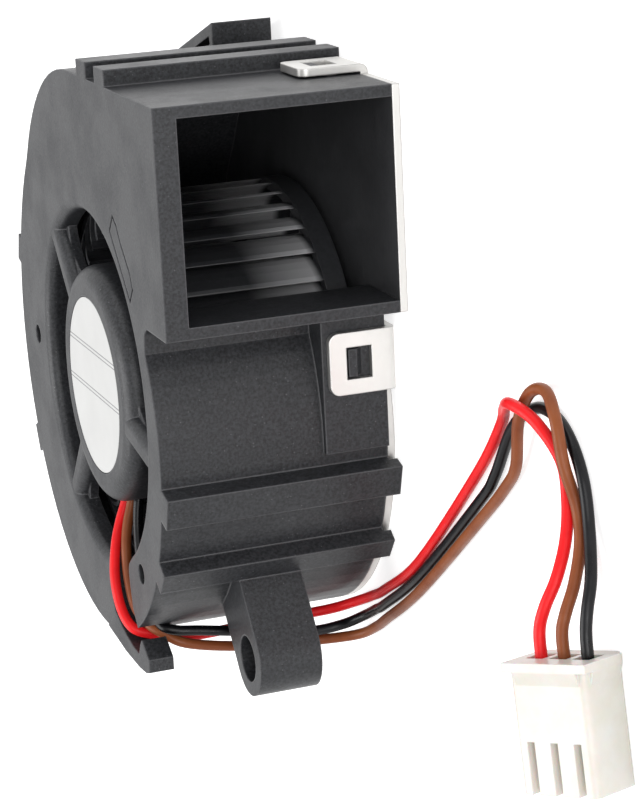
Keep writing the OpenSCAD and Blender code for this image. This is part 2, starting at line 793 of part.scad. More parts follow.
RED_ROUTE = [
    [-11.7, -0.2, 22.1], [-13.3, -0.4, 22.5], [-15.3, -0.9, 23.4], [-17.4, -2.2, 24.4],
    [-20.4, -3.9, 25.2], [-23.4, -5.6, 25.2], [-25.2, -7.2, 24.5], [-26, -8, 22.6],
    [-26.6, -8.4, 20.4], [-26.6, -8.9, 17], [-26, -9.8, 10], [-25.3, -11.4, 4],
    [-24.2, -13.4, 1.6], [-22.6, -16.6, 0.6], [-20.6, -20.6, 0.6], [-14.5, -30.5, 0.6],
    [-1, -46, 0.6], [5, -51.6, 0.6], [7.6, -55, 1.7], [9.2, -59.2, 3],
    [8.4, -62.8, 2.3], [5.4, -65.3, 1.1], [2.2, -66.6, 1.2], [-0.9, -68, 2.1],
    [-3.8, -69, 3.5], [-6.3, -69, 4.7], [-8.5, -68.9, 5.2], [-11.7, -69.7, 5.3]];
BROWN_ROUTE = [
    [-11.7, -1.4, 21.9], [-13.3, -1.6, 22.2], [-15.4, -2.3, 23], [-17.6, -3.4, 23.6],
    [-20.5, -4.6, 23.9], [-23.3, -6.4, 23.8], [-24.7, -8.4, 23], [-25.5, -9.7, 21.8],
    [-26.6, -10.6, 19.8], [-27.7, -10.9, 15], [-28.2, -11.4, 9.5], [-28.1, -12.8, 4],
    [-27.3, -14.9, 1.4], [-25.7, -17.6, 0.6], [-24, -20.4, 0.6], [-17.7, -30.3, 0.6],
    [-5.7, -46.1, 0.6], [-0.9, -52.1, 0.6], [2.2, -55.4, 0.9], [7.2, -58.2, 1.8],
    [10.2, -60.1, 1.5], [11, -63, 1.3], [9.2, -65.9, 1.8], [5.6, -67.3, 1.8], [2, -68, 1],
    [-0.9, -69.2, 1.3], [-4, -70.4, 2.5], [-6.4, -71, 3.7], [-8.2, -71.1, 4.1],
    [-11.3, -71.8, 4.1]];
BLACK_ROUTE = [
    [-11.6, -2.6, 21.4], [-13.2, -2.9, 21.8], [-15.4, -3.6, 22.2], [-18, -4.8, 22.5],
    [-21, -6.4, 22.5], [-23.4, -8.4, 22.4], [-24.4, -10.2, 22.1], [-24.8, -11.2, 20.8],
    [-25.1, -11.7, 18.2], [-26, -12.6, 12], [-26.9, -12.7, 6.5], [-26.5, -13.4, 3],
    [-25.2, -15.2, 1.1], [-23.8, -17.6, 0.6], [-22.3, -20.4, 0.6], [-16, -30.5, 0.6],
    [-3.8, -46.2, 0.6], [-0.2, -50, 0.6], [5.4, -54.2, 0.6],
    [8.4, -59, 0.6], [8.8, -63, 0.6], [7.4, -66.2, 0.6], [4.6, -68.5, 0.6], [1, -69.9, 0.8],
    [-3, -72, 1.7], [-5.6, -73, 2.6], [-7.7, -73.3, 2.9], [-10.8, -74, 3]];

module red_wire() color("crimson") tube(RED_ROUTE, lead_d / 2);
module brown_wire() color("saddlebrown") tube(BROWN_ROUTE, lead_d / 2);
module black_wire() color(black) tube(BLACK_ROUTE, lead_d / 2);

// ---- Plug: local X runs to the mating end, local Z out of the slotted face ----

plug_tilt = 27.5;
plug_edge = 1.6;
plug_w = 2 * plug_pitch + 2 * plug_edge;
plug_corner = 0.7;
// The tilted plug rests on one long corner
plug_z = (plug_w / 2 - plug_corner) * sin(plug_tilt) + (plug_t / 2 - plug_corner) * cos(plug_tilt)
    + plug_corner;
plug_at = [-15.6, -72.8, plug_z];
plug_turn = [-plug_tilt, 0, 192.6];
flange_l = 0.8;
flange_out = 0.4;
cavity_w = 1.9;
cavity_h = 2.2;
slot_w = 0.8;
slot_l = 4.6;
wire_depth = 1.3;

module at_plug() translate(plug_at) rotate(plug_turn) children();

module rounded_block(w, t, l, r) {
    rotate([90, 0, 90]) linear_extrude(l, center = true) {
        square([w - 2 * r, t], center = true);
        square([w, t - 2 * r], center = true);
        for (x = [-1, 1]) for (y = [-1, 1]) translate([x * (w / 2 - r), y * (t / 2 - r)])
            circle(r, $fn = 32);
    }
}

module plug_housing() {
    wire_end = -plug_len / 2;
    color("ivory") at_plug() difference() {
        union() {
            rounded_block(plug_w, plug_t, plug_len, plug_corner);
            translate([wire_end, -plug_w / 2 - flange_out, -plug_t / 2 + plug_corner])
                rotate([90, 0, 90]) linear_extrude(flange_l)
                square([plug_w + 2 * flange_out, plug_t - plug_corner + flange_out]);
            // Sloped shoulder under the flange on the slotted face and the sides
            translate([wire_end + flange_l, 0, 0]) rotate([90, 0, 0])
                linear_extrude(plug_w - 2 * plug_corner, center = true) polygon([
                    [0, 0], [0, plug_t / 2 + flange_out], [1.2, plug_t / 2], [1.2, 0]]);
            translate([wire_end + flange_l, 0, 0])
                linear_extrude(plug_t - 2 * plug_corner, center = true) polygon([
                    [0, -plug_w / 2 - flange_out], [1.2, -plug_w / 2], [1.2, plug_w / 2],
                    [0, plug_w / 2 + flange_out]]);
        }
        for (k = [-1:1]) translate([0, k * plug_pitch, 0]) {
            cube([plug_len + 2, cavity_w, cavity_h], center = true);
            translate([plug_len / 2 - slot_l, -slot_w / 2, 0]) cube([slot_l + 1, slot_w, plug_t]);
        }
        // Keyways on the back face
        for (k = [-1, 1]) translate([plug_len / 2 - 7, k * plug_pitch / 2 - 0.5, -plug_t / 2 - 1])
            cube([8, 1, 1.5]);
    }
}

terminal_l = 7.4;
module crimp_terminal() {
    start = -plug_len / 2 + wire_depth + 0.05;
    translate([start, 0, 0]) rotate([0, 90, 0]) cylinder(r = 0.75, h = 2.2, $fn = 24);
    translate([start + 2.1, -0.35, -0.75]) cube([1.2, 0.7, 0.5]);
    translate([start + 3.2, 0, 0]) rotate([90, 0, 90])
        linear_extrude(terminal_l - 3.2) difference() {
            square([1.7, 1.9], center = true);
            square([1.2, 1.4], center = true);
        }
}
module crimp_terminals() color("gainsboro") at_plug() for (k = [-1:1])
    translate([0, k * plug_pitch, 0]) crimp_terminal();

housing();
back_plate();
label();
bearing_sleeve();
upper_outer_ring();
upper_inner_ring();
upper_ball_set();
lower_outer_ring();
lower_inner_ring();
lower_ball_set();
bearing_shields();
preload_spring();
shaft();
retaining_ring();
wear_washer();
shaft_bushing();
rotor_yoke();
rotor_magnet();
impeller();
stator_core();
upper_insulator();
lower_insulator();
stator_coils();
coil_pins();
circuit_board();
drive_chip();
board_parts();
red_wire();
brown_wire();
black_wire();
plug_housing();
crimp_terminals();
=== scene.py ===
# %% [markdown]
# # A small DC blower, finished in Blender
#
# The solids of the blower come from its construction model, so every wall, clip and
# blade already stands where the real one does. What is left for Blender is the camera,
# the three soft leads, the light and the finish of each piece. The frame is loaded
# first, because every later step measures itself against it.

# %% Load the frame
import json
import math

import bpy
import numpy as np
from mathutils import Matrix, Vector


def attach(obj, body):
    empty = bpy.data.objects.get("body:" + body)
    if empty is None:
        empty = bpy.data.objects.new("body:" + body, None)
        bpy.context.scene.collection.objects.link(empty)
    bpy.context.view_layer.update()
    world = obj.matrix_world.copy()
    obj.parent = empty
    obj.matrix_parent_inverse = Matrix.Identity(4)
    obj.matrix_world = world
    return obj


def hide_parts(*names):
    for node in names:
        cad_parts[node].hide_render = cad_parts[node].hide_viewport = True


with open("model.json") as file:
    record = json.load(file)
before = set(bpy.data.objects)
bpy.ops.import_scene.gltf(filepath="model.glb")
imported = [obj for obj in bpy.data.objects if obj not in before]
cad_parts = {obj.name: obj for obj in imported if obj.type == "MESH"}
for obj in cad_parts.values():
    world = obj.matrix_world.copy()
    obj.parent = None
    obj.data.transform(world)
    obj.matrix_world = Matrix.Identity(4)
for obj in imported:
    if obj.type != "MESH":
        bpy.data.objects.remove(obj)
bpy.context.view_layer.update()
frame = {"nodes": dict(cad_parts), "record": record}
nodes = frame["nodes"]
scene = bpy.context.scene
MM = 0.001
print("pieces in the frame:", len(nodes))

# %% [markdown]
# ## The viewing angle
#
# The blower lies on its metal plate and is seen from in front of its outlet, a little
# from above, with the camera rolled on its side so that the round face points left. A
# camera is a turned frame of three directions: right, up and back. They could be set as
# Euler angles, but three unit vectors are easier to check, so the matrix is written
# from them. The lens is long, as for a small product on a table.

# %% Place the camera
AZIMUTH, ELEVATION, ROLL = (math.radians(a) for a in (16.322, 18.925, -98.238))
TARGET = Vector((-5.62, 0.0, -0.478)) * MM
DISTANCE = 285.631 * MM
LENS = 115.48

back = Vector((math.sin(AZIMUTH) * math.cos(ELEVATION),
               -math.cos(AZIMUTH) * math.cos(ELEVATION), math.sin(ELEVATION)))
level = Vector((0, 0, 1)).cross(back).normalized()
upright = back.cross(level)
right = level * math.cos(ROLL) + upright * math.sin(ROLL)
up = back.cross(right)
turn = Matrix((right, up, back)).transposed().to_4x4()

camera_data = bpy.data.cameras.new("camera")
camera_data.lens = LENS
camera_data.sensor_width = 36.0
camera_data.clip_start = 0.01
camera = bpy.data.objects.new("camera", camera_data)
scene.collection.objects.link(camera)
camera.matrix_world = Matrix.Translation(TARGET + back * DISTANCE) @ turn
scene.camera = camera
print("camera at", [round(v, 4) for v in camera.matrix_world.translation])

# %% [markdown]
# ## The three leads
#
# Each lead is a soft stranded wire in a plastic skin, a little over a millimetre thick.
# It comes out of the notch in the motor base, runs along the slot in the intake face,
# bends down beside the scroll and then lies on the table on its way to the plug, where
# the three cross in a loop. A curve object could draw it, but a mesh tube shows how a
# round section is carried along a path. The points are the ones the solids follow.

# %% Points that the leads pass through
LEAD_R = 0.55 * MM
RED_ROUTE = np.array([
    (-11.7, -0.2, 22.1), (-13.3, -0.4, 22.5), (-15.3, -0.9, 23.4), (-17.4, -2.2, 24.4),
    (-20.4, -3.9, 25.2), (-23.4, -5.6, 25.2), (-25.2, -7.2, 24.5), (-26, -8, 22.6),
    (-26.6, -8.4, 20.4), (-26.6, -8.9, 17), (-26, -9.8, 10), (-25.3, -11.4, 4),
    (-24.2, -13.4, 1.6), (-22.6, -16.6, 0.6), (-20.6, -20.6, 0.6), (-14.5, -30.5, 0.6),
    (-1, -46, 0.6), (5, -51.6, 0.6), (7.6, -55, 1.7), (9.2, -59.2, 3),
    (8.4, -62.8, 2.3), (5.4, -65.3, 1.1), (2.2, -66.6, 1.2), (-0.9, -68, 2.1),
    (-3.8, -69, 3.5), (-6.3, -69, 4.7), (-8.5, -68.9, 5.2), (-11.7, -69.7, 5.3)]) * MM
BROWN_ROUTE = np.array([
    (-11.7, -1.4, 21.9), (-13.3, -1.6, 22.2), (-15.4, -2.3, 23), (-17.6, -3.4, 23.6),
    (-20.5, -4.6, 23.9), (-23.3, -6.4, 23.8), (-24.7, -8.4, 23), (-25.5, -9.7, 21.8),
    (-26.6, -10.6, 19.8), (-27.7, -10.9, 15), (-28.2, -11.4, 9.5), (-28.1, -12.8, 4),
    (-27.3, -14.9, 1.4), (-25.7, -17.6, 0.6), (-24, -20.4, 0.6), (-17.7, -30.3, 0.6),
    (-5.7, -46.1, 0.6), (-0.9, -52.1, 0.6), (2.2, -55.4, 0.9), (7.2, -58.2, 1.8),
    (10.2, -60.1, 1.5), (11, -63, 1.3), (9.2, -65.9, 1.8), (5.6, -67.3, 1.8),
    (2, -68, 1), (-0.9, -69.2, 1.3), (-4, -70.4, 2.5), (-6.4, -71, 3.7),
    (-8.2, -71.1, 4.1), (-11.3, -71.8, 4.1)]) * MM
BLACK_ROUTE = np.array([
    (-11.6, -2.6, 21.4), (-13.2, -2.9, 21.8), (-15.4, -3.6, 22.2), (-18, -4.8, 22.5),
    (-21, -6.4, 22.5), (-23.4, -8.4, 22.4), (-24.4, -10.2, 22.1), (-24.8, -11.2, 20.8),
    (-25.1, -11.7, 18.2), (-26, -12.6, 12), (-26.9, -12.7, 6.5), (-26.5, -13.4, 3),
    (-25.2, -15.2, 1.1), (-23.8, -17.6, 0.6), (-22.3, -20.4, 0.6), (-16, -30.5, 0.6),
    (-3.8, -46.2, 0.6), (-0.2, -50, 0.6), (5.4, -54.2, 0.6), (8.4, -59, 0.6),
    (8.8, -63, 0.6), (7.4, -66.2, 0.6), (4.6, -68.5, 0.6), (1, -69.9, 0.8),
    (-3, -72, 1.7), (-5.6, -73, 2.6), (-7.7, -73.3, 2.9), (-10.8, -74, 3)]) * MM


# %% [markdown]
# A lead bends evenly, so its line is a smooth curve through the points. The tube is a
# grid: one parameter runs along the line and the other runs round the section. At each
# place along the line two directions span the section. The first is carried on from
# place to place with its part along the line taken out, so the tube doesn't twist.

# %% Carry a round section along a smooth line
def smooth_line(points, per_span=6):
    """Catmull-Rom curve: between b and c, with neighbours a and d, the point at t is
    half of 2b + (c - a)t + (2a - 5b + 4c - d)t^2 + (3b - a - 3c + d)t^3."""
    ends = np.vstack([2 * points[0] - points[1], points, 2 * points[-1] - points[-2]])
    a, b, c, d = (ends[i:len(points) - 1 + i, None, :] for i in range(4))
    t = np.linspace(0, 1, per_span, endpoint=False)[None, :, None]
    line = 0.5 * (2 * b + (c - a) * t + (2 * a - 5 * b + 4 * c - d) * t ** 2
                  + (3 * b - a - 3 * c + d) * t ** 3)
    return np.vstack([line.reshape(-1, 3), points[-1]])


def section_axes(line):
    """Unit tangents t, and two unit normals u and v = t x u, where each u is the last
    one less its part along the new tangent."""
    t = np.gradient(line, axis=0)
    t /= np.linalg.norm(t, axis=1)[:, None]
    u = np.empty_like(t)
    last = np.cross(t[0], [0, 0, 1.0])
    for i, along in enumerate(t):
        last = last - along * (last @ along)
        last /= np.linalg.norm(last)
        u[i] = last
    return t, u, np.cross(t, u)


def new_piece(name, vertices, faces, body, smooth=True):
    """A mesh object at the origin, with its place in its vertices, riding on a body."""
    mesh = bpy.data.meshes.new(name)
    mesh.from_pydata(vertices.tolist(), [], faces)
    mesh.polygons.foreach_set("use_smooth", np.full(len(mesh.polygons), smooth))
    mesh.update()
    piece = bpy.data.objects.new(name, mesh)
    scene.collection.objects.link(piece)
    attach(piece, body)
    return piece


def tube(name, line, radius, body, sides=20):
    """Point (i, k) = line[i] + radius (cos a u[i] + sin a v[i]), where a is k turns
    over the number of sides; both ends are closed with one flat face."""
    _, u, v = section_axes(line)
    a = (np.arange(sides) / sides * 2 * math.pi)[None, :, None]
    grid = line[:, None, :] + radius * (np.cos(a) * u[:, None] + np.sin(a) * v[:, None])
    i, k = np.meshgrid(np.arange(len(line) - 1), np.arange(sides), indexing="ij")
    here, there = i * sides + k, i * sides + (k + 1) % sides
    quads = np.stack([here, there, there + sides, here + sides], -1).reshape(-1, 4)
    last = (len(line) - 1) * sides
    caps = [list(range(sides))[::-1], list(range(last, last + sides))]
    return new_piece(name, grid.reshape(-1, 3), quads.tolist() + caps, body)


leads = {}
for colour, route in (("red", RED_ROUTE), ("brown", BROWN_ROUTE), ("black", BLACK_ROUTE)):
    line = smooth_line(route)
    lead = tube(colour + "_lead", line, LEAD_R, "frame")
    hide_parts(colour + "_wire")
    leads[colour] = lead

# %% [markdown]
# ## Light and table
#
# Black plastic only shows its form through soft, wide highlights. One large lamp hangs
# above, a weaker one stands at the outlet side, a small low one looks straight into the
# air duct, and one stands beside the scroll. Small hard lamps would give sharper edges,
# but they would leave most of a black part without any light at all.

# %% Lamps
scene.view_settings.view_transform = "Standard"


def add_lamp(name, place, aim, size, power):
    """A square area lamp at place that faces aim, with its side in metres and its power
    in watts."""
    data = bpy.data.lights.new(name, "AREA")
    data.shape = "SQUARE"
    data.size = size
    data.energy = power
    lamp = bpy.data.objects.new(name, data)
    scene.collection.objects.link(lamp)
    facing = (Vector(aim) - Vector(place)).to_track_quat("-Z", "Y").to_matrix().to_4x4()
    lamp.matrix_world = Matrix.Translation(place) @ facing


CENTRE = (0.0, -0.02, 0.01)
IN_DUCT = (0.02, 0.0, 0.012)
add_lamp("top_lamp", (-0.10, 0.10, 0.62), CENTRE, 0.5, 3.4)
add_lamp("outlet_lamp", (0.15, -0.65, 0.30), CENTRE, 0.45, 1.6)
add_lamp("duct_lamp", (0.0, -0.50, 0.06), IN_DUCT, 0.16, 0.45)
add_lamp("side_lamp", (0.60, -0.05, 0.22), CENTRE, 0.4, 0.8)
print("lamps:", [lamp.name for lamp in bpy.data.lights])

# %% [markdown]
# The pale room around the blower fills the shadows a little. The camera and the shiny
# pieces should see it as pure white, but at that strength it would wash out every
# surface. So the room is made of two backgrounds, and the kind of ray that meets it
# chooses between them.

# %% White room
FILL_STRENGTH, WHITE_STRENGTH = 0.26, 1.0


def seen_directly(tree):
    """1 for camera, glossy and transmission rays, and 0 for the light on surfaces."""
    path = tree.nodes.new("ShaderNodeLightPath")
    total = path.outputs["Is Camera Ray"]
    for ray in ("Is Glossy Ray", "Is Transmission Ray"):
        add = tree.nodes.new("ShaderNodeMath")
        add.operation = "MAXIMUM"
        tree.links.new(total, add.inputs[0])
        tree.links.new(path.outputs[ray], add.inputs[1])
        total = add.outputs[0]
    return total


world = bpy.data.worlds.new("room")
scene.world = world
world.use_nodes = True
room = world.node_tree
room.nodes.clear()
fill, white = (room.nodes.new("ShaderNodeBackground") for _ in range(2))
for shade, strength in ((fill, FILL_STRENGTH), (white, WHITE_STRENGTH)):
    shade.inputs["Color"].default_value = (1, 1, 1, 1)
    shade.inputs["Strength"].default_value = strength
choose = room.nodes.new("ShaderNodeMixShader")
output = room.nodes.new("ShaderNodeOutputWorld")
room.links.new(seen_directly(room), choose.inputs["Fac"])
room.links.new(fill.outputs[0], choose.inputs[1])
room.links.new(white.outputs[0], choose.inputs[2])
room.links.new(choose.outputs[0], output.inputs["Surface"])
print("room strengths:", FILL_STRENGTH, "on surfaces and", WHITE_STRENGTH, "seen")

# %% [markdown]
# The table is a plain pale sheet that takes the blower's shadow. Its own colour would
# look grey beside the white room. A little glow, which only the camera and the shiny
# pieces see, lifts it to white and lights nothing else.

# %% Pale table
TABLE_GREY = 0.8
TABLE_GLOW = 0.68
TABLE_HALF_SIDE = 3.0
TABLE_DROP = 0.02 * MM

table_material = bpy.data.materials.new("pale_table")
table_material.use_nodes = True
tree = table_material.node_tree
tree.nodes.clear()
sheet = tree.nodes.new("ShaderNodeBsdfDiffuse")
sheet.inputs["Color"].default_value = (TABLE_GREY, TABLE_GREY, TABLE_GREY, 1)
glow = tree.nodes.new("ShaderNodeEmission")
glow_level = tree.nodes.new("ShaderNodeMath")
glow_level.operation = "MULTIPLY"
glow_level.inputs[1].default_value = TABLE_GLOW
both = tree.nodes.new("ShaderNodeAddShader")
output = tree.nodes.new("ShaderNodeOutputMaterial")
tree.links.new(seen_directly(tree), glow_level.inputs[0])
tree.links.new(glow_level.outputs[0], glow.inputs["Strength"])
tree.links.new(sheet.outputs[0], both.inputs[0])
tree.links.new(glow.outputs[0], both.inputs[1])
tree.links.new(both.outputs[0], output.inputs["Surface"])

corners = np.array([[-1, -1, 0], [1, -1, 0], [1, 1, 0], [-1, 1, 0]]) * TABLE_HALF_SIDE
corners[:, 2] = -TABLE_DROP
mesh = bpy.data.meshes.new("table")
mesh.from_pydata(corners.tolist(), [], [[0, 1, 2, 3]])
table = bpy.data.objects.new("table", mesh)
scene.collection.objects.link(table)
mesh.materials.append(table_material)
print("table:", 2 * TABLE_HALF_SIDE, "m wide")

# %% [markdown]
# ## Shared effects
#
# A few things happen on many of the pieces: moulded plastic has a fine grain, corners
# are slightly round and rubbed pale, and handling leaves faint patches. Each is built
# once as a node group that puts out a colour, a mask or a normal, and every material
# places it with its own values.

# %% Helpers for node groups
def start_group(name, inputs, outputs):
    """An empty shader group with named sockets; inputs are (name, kind, value)."""
    group = bpy.data.node_groups.new(name, "ShaderNodeTree")
    for label, kind, value in inputs:
        socket = group.interface.new_socket(label, in_out="INPUT",
                                            socket_type="NodeSocket" + kind)
        if value is not None:
            socket.default_value = value
    for label, kind in outputs:
        group.interface.new_socket(label, in_out="OUTPUT", socket_type="NodeSocket" + kind)
    return group, group.nodes.new("NodeGroupInput"), group.nodes.new("NodeGroupOutput")


def fill_socket(tree, socket, value):
    """Links a socket to another node's output, or sets it to a plain value."""
    if isinstance(value, bpy.types.NodeSocket):
        tree.links.new(value, socket)
    else:
        socket.default_value = value


def add_node(tree, kind, settings=None, **sockets):
    """A node with some attributes set and its inputs filled. An input goes by its name,
    or by its number as i0, i1 and so on where two have the same name."""
    node = tree.nodes.new("ShaderNode" + kind)
    for key, value in (settings or {}).items():
        setattr(node, key, value)
    for key, value in sockets.items():
        label = int(key[1:]) if key[1:].isdigit() else key
        fill_socket(tree, node.inputs[label], value)
    return node


def math_node(tree, operation, first, second, **sockets):
    """The output of one Math node."""
    return add_node(tree, "Math", {"operation": operation}, i0=first, i1=second,
                    **sockets).outputs[0]


def fit_range(tree, value, low, high, to_low=0.0, to_high=1.0):
    """Stretches value from low..high to to_low..to_high, and clamps it."""
    node = add_node(tree, "MapRange", Value=value)
    for label, limit in (("From Min", low), ("From Max", high), ("To Min", to_low),
                         ("To Max", to_high)):
        node.inputs[label].default_value = limit
    return node.outputs["Result"]


def blend_colours(tree, mask, first, second):
    """first where the mask is 0 and second where it is 1."""
    node = add_node(tree, "Mix", {"data_type": "RGBA"}, i0=mask)
    for socket, value in ((node.inputs[6], first), (node.inputs[7], second)):
        fill_socket(tree, socket, (*value, 1) if isinstance(value, tuple) else value)
    return node.outputs[2]


# %% [markdown]
# No moulded or stamped edge is perfectly sharp. Modelling each small radius would take
# many faces, so the Bevel node turns the shading normal near an edge instead. The same
# node tells where the edges are: there the rounded normal leaves the face's own normal.
# The cosine between the two is above FLAT on a face and below SHARP in mid edge.

# %% Group: rounded edges
FLAT, SHARP = 0.985, 0.86
edges, gin, gout = start_group(
    "rounded edges", [("Radius", "Float", 0.0003), ("Normal", "Vector", None)],
    [("Normal", "Vector"), ("Edge", "Float")])
rounded = add_node(edges, "Bevel", {"samples": 6}, Radius=gin.outputs["Radius"],
                   Normal=gin.outputs["Normal"])
plain_round = add_node(edges, "Bevel", {"samples": 6}, Radius=gin.outputs["Radius"])
flat = add_node(edges, "NewGeometry")
agree = add_node(edges, "VectorMath", {"operation": "DOT_PRODUCT"},
                 i0=plain_round.outputs["Normal"], i1=flat.outputs["True Normal"])
edges.links.new(rounded.outputs["Normal"], gout.inputs["Normal"])
edges.links.new(fit_range(edges, agree.outputs["Value"], FLAT, SHARP), gout.inputs["Edge"])
print("group:", edges.name)

# %% [markdown]
# A moulded skin copies the fine texture of its mould. Noise gives the small bumps and
# the mottled tone, and an image could do the same, but noise never repeats. A Voronoi
# pattern gives single painted glints, pale dots of colour that stand in for highlights:
# a glint is the middle of a cell, between the distances GLINT_EDGE and GLINT_FULL, and
# only in the few cells whose random red value is high.

# %% Group: moulding grain and painted glints
GLINT_EDGE, GLINT_FULL = 0.26, 0.08
GLINT_RARE, GLINT_SURE = 0.88, 0.94
grain, gin, gout = start_group(
    "moulding grain and painted glints", [("Scale", "Float", 4000.0), ("Depth", "Float", 0.00002)],
    [("Normal", "Vector"), ("PaintedGlint", "Float"), ("Mottle", "Float")])
place = add_node(grain, "TexCoord")
coarse = add_node(grain, "TexNoise", Vector=place.outputs["Object"],
                  Scale=gin.outputs["Scale"], Detail=3.0, Roughness=0.65)
painted_glint_specks = add_node(grain, "TexVoronoi", Vector=place.outputs["Object"],
                  Scale=gin.outputs["Scale"])
bumps = add_node(grain, "Bump", Height=coarse.outputs["Fac"], Distance=gin.outputs["Depth"],
                 Strength=1.0)
grain.links.new(bumps.outputs["Normal"], gout.inputs["Normal"])
chance = add_node(grain, "SeparateColor", Color=painted_glint_specks.outputs["Color"])
# Painted highlights: this mask makes pale dots of colour that stand in for glints of light.
painted_glint = math_node(grain, "MULTIPLY",
                  fit_range(grain, painted_glint_specks.outputs["Distance"], GLINT_EDGE, GLINT_FULL),
                  fit_range(grain, chance.outputs["Red"], GLINT_RARE, GLINT_SURE))
grain.links.new(painted_glint, gout.inputs["PaintedGlint"])
grain.links.new(fit_range(grain, coarse.outputs["Fac"], 0.36, 0.64), gout.inputs["Mottle"])
print("group:", grain.name)

# %% [markdown]
# Fingers leave wide, faint patches that shine less than the rest. They are a slow noise,
# stretched so that about half of the surface stays clean.

# %% Group: handling marks
marks, gin, gout = start_group("handling marks", [("Scale", "Float", 120.0)],
                               [("Patches", "Float")])
place = add_node(marks, "TexCoord")
cloud = add_node(marks, "TexNoise", Vector=place.outputs["Object"],
                 Scale=gin.outputs["Scale"], Detail=5.0, Roughness=0.6)
marks.links.new(fit_range(marks, cloud.outputs["Fac"], 0.42, 0.68), gout.inputs["Patches"])
print("group:", marks.name)

# %% [markdown]
# ## Finishes
#
# Every finish starts from the same physically based shader. The steps below mix a
# second colour in where a mask says so, let another mask change the roughness, and
# hand the bumped and rounded normal to the shader.

# %% Helpers for a finish
def start_finish(name, colour, roughness, metallic=0.0, **fixed):
    """A material with one Principled shader; fixed values go on its own sockets."""
    material = bpy.data.materials.new(name)
    material.use_nodes = True
    tree = material.node_tree
    shader = tree.nodes["Principled BSDF"]
    shader.inputs["Base Color"].default_value = (*colour, 1)
    shader.inputs["Roughness"].default_value = roughness
    shader.inputs["Metallic"].default_value = metallic
    for key, value in fixed.items():
        shader.inputs[key.replace("_", " ")].default_value = value
    return material, tree, shader


def place_group(tree, group, **values):
    """One use of a shared effect, with its own values."""
    node = tree.nodes.new("ShaderNodeGroup")
    node.node_tree = group
    for label, value in values.items():
        fill_socket(tree, node.inputs[label], value)
    return node


def recolour(tree, shader, mask, colour):
    """Mixes a colour over whatever already feeds the shader, where the mask is 1."""
    below = shader.inputs["Base Color"].links[0].from_socket
    tree.links.new(blend_colours(tree, mask, below, colour), shader.inputs["Base Color"])


# %% [markdown]
# ### Housing
#
# The housing is moulded in a filled black resin. Its skin is satin with a fine grain, and
# the corners are rubbed a little pale. Single specks carry painted glints, pale dots that
# stand in for highlights. One plain black would hide the form, so three masks vary it.
# The impeller, the magnet, the chip and the nylon pieces are moulded too, so one
# function makes all their finishes.

# %% A moulded plastic
def moulded_plastic(name, colour, wear_and_glint_colour, roughness, grain_scale, grain_depth, edge_r, wear,
                    painted_glint_specks=0.25, mottle=0.15, uneven=0.12, **fixed):
    """Grain mottles the colour; painted glints, pale dots that stand in for highlights, and
    rubbed edges turn to the pale edge and glint colour, and handled patches are rougher.
    Scales are in cells per metre and depths in metres."""
    material, tree, shader = start_finish(name, colour, roughness, **fixed)
    skin = place_group(tree, grain, Scale=grain_scale, Depth=grain_depth)
    rim = place_group(tree, edges, Radius=edge_r, Normal=skin.outputs["Normal"])
    touch = place_group(tree, marks, Scale=150.0)
    darker, lighter = (tuple(c * (1 + way * mottle) for c in colour) for way in (-1, 1))
    mottled = blend_colours(tree, skin.outputs["Mottle"], darker, lighter)
    # Painted glints: pale dots mixed into the colour, standing in for highlights.
    painted_glints = math_node(tree, "MULTIPLY", skin.outputs["PaintedGlint"], painted_glint_specks)
    rubbed = math_node(tree, "MULTIPLY", rim.outputs["Edge"], wear)
    pale = blend_colours(tree, painted_glints, mottled, wear_and_glint_colour)
    tree.links.new(blend_colours(tree, rubbed, pale, wear_and_glint_colour), shader.inputs["Base Color"])
    handled = fit_range(tree, touch.outputs["Patches"], 0.0, 1.0, roughness, roughness + uneven)
    tree.links.new(handled, shader.inputs["Roughness"])
    tree.links.new(rim.outputs["Normal"], shader.inputs["Normal"])
    return material


# %% The moulded pieces
finishes = {}
finishes["housing_plastic"] = moulded_plastic(
    "satin black moulding", (0.026, 0.027, 0.030), wear_and_glint_colour=(0.19, 0.19, 0.20), roughness=0.40,
    grain_scale=3200.0, grain_depth=0.000024, edge_r=0.00028, wear=0.6, painted_glint_specks=0.6,
    mottle=0.5, Specular_IOR_Level=0.34)
finishes["impeller_plastic"] = moulded_plastic(
    "glossy black moulding", (0.03, 0.031, 0.034), wear_and_glint_colour=(0.14, 0.14, 0.15), roughness=0.3,
    grain_scale=2500.0, grain_depth=0.000003, edge_r=0.00012, wear=0.3, painted_glint_specks=0.0,
    uneven=0.02)
finishes["magnet"] = moulded_plastic(
    "bonded ferrite", (0.05, 0.05, 0.055), wear_and_glint_colour=(0.12, 0.12, 0.12), roughness=0.55,
    grain_scale=4000.0, grain_depth=0.00002, edge_r=0.0002, wear=0.4)
finishes["chip"] = moulded_plastic(
    "moulded epoxy", (0.03, 0.03, 0.032), wear_and_glint_colour=(0.1, 0.1, 0.1), roughness=0.5,
    grain_scale=6000.0, grain_depth=0.00001, edge_r=0.0001, wear=0.3)
finishes["insulator_nylon"] = moulded_plastic(
    "ivory nylon", (0.72, 0.68, 0.56), wear_and_glint_colour=(0.85, 0.83, 0.76), roughness=0.4,
    grain_scale=2000.0, grain_depth=0.000004, edge_r=0.0002, wear=0.2)
finishes["washer_nylon"] = moulded_plastic(
    "pale nylon", (0.75, 0.72, 0.62), wear_and_glint_colour=(0.85, 0.83, 0.76), roughness=0.35,
    grain_scale=2000.0, grain_depth=0.000003, edge_r=0.0001, wear=0.2)
finishes["board_part"] = moulded_plastic(
    "ceramic", (0.45, 0.33, 0.2), wear_and_glint_colour=(0.7, 0.68, 0.64), roughness=0.35,
    grain_scale=3000.0, grain_depth=0.000004, edge_r=0.0001, wear=0.5)
print("moulded finishes:", list(finishes))
